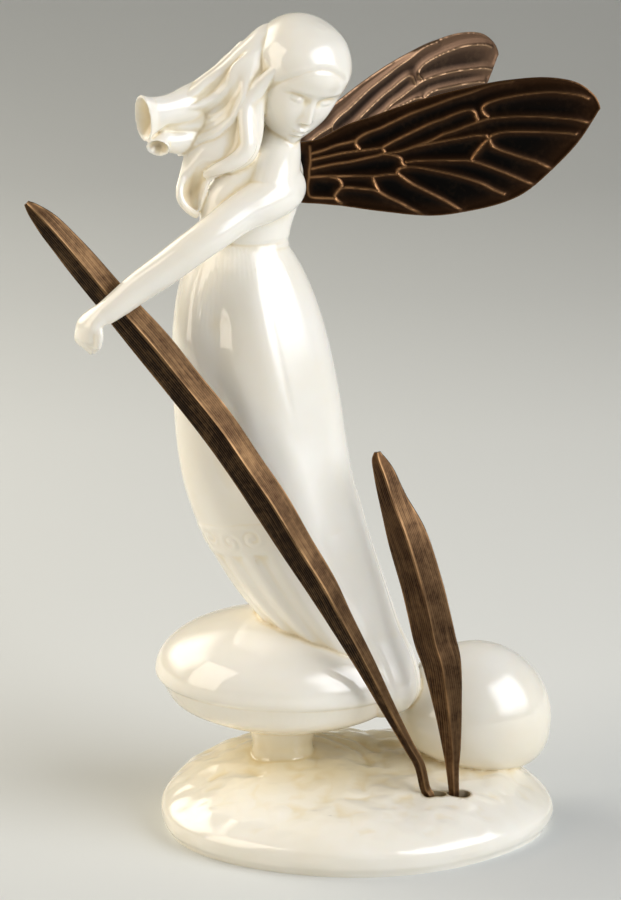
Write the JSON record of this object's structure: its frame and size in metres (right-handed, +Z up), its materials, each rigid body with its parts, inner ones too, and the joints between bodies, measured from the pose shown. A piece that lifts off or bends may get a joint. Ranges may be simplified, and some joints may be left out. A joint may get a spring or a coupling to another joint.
{
  "type": "fairy figurine",
  "caption": "Glazed porcelain fairy leaning on a toadstool, holding a bronze grass blade, with veined bronze wings and a second blade set in a rocky oval base.",
  "frame": {"origin": "middle of the oval base on its flat underside", "axes": "+Z up, -Y towards the viewer's side of the figure, +X towards the wings"},
  "size_m": [0.1831, 0.1306, 0.2672],
  "materials": {
    "glazed_porcelain": "polished",
    "patinated_bronze": "satin"
  },
  "bodies": {
    "root": {"porcelain_figure": "glazed_porcelain", "left_wing": "patinated_bronze", "right_wing": "patinated_bronze", "tall_blade": "patinated_bronze", "short_blade": "patinated_bronze"}
  },
  "joints": []
}
